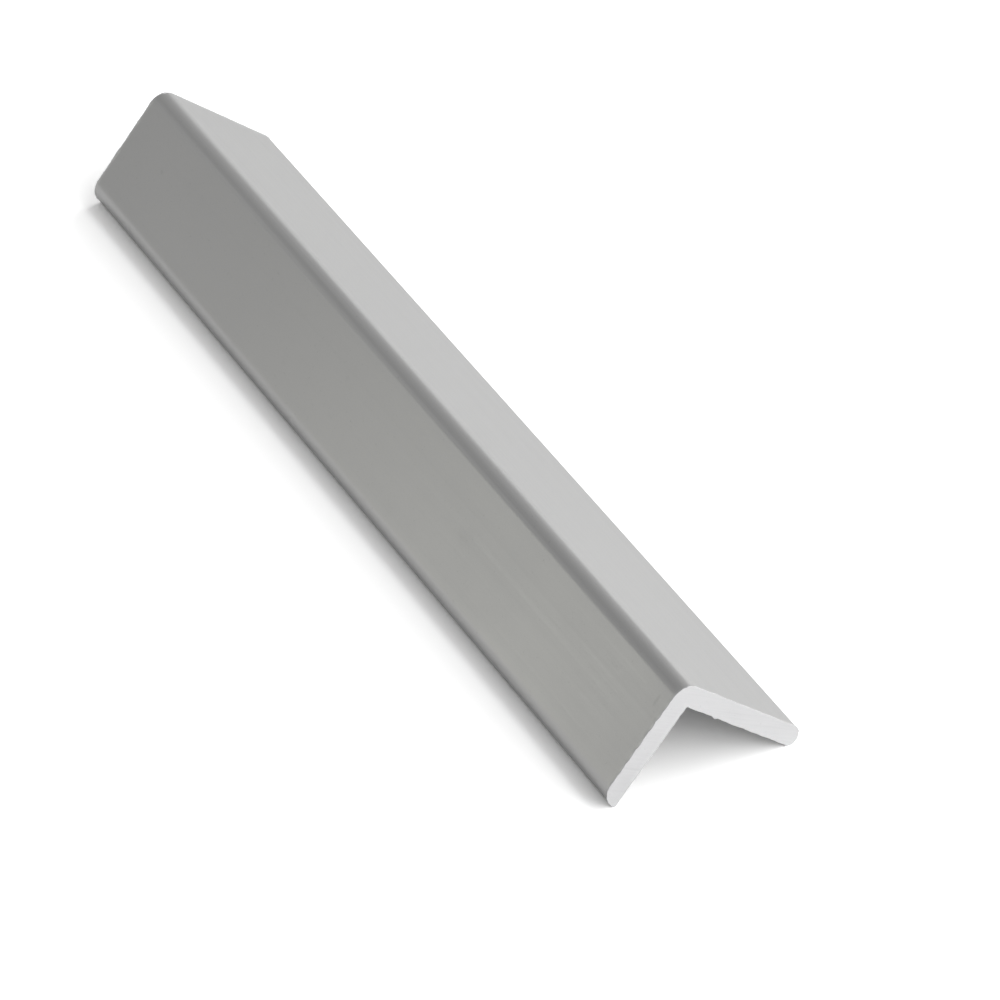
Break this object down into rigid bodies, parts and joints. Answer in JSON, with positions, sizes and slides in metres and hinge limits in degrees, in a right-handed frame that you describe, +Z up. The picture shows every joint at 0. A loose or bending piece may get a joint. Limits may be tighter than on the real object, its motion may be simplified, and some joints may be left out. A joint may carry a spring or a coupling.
{
  "type": "edge trim profile",
  "caption": "Short length of unequal aluminium angle with a rounded outer corner and rounded toes, for covering and protecting the edge of a panel, step or worktop.",
  "frame": {"origin": "centre of the bounding box on the floor that the two toes rest on", "axes": "+X along the length, +Z up, the short leg on the -Y side and the long leg on the +Y side"},
  "size_m": [0.16, 0.0294, 0.0162],
  "materials": {
    "satin_aluminium": "matt silver anodised, sawn bright at both ends"
  },
  "bodies": {
    "root": {"angle_profile": "satin_aluminium"}
  },
  "joints": []
}
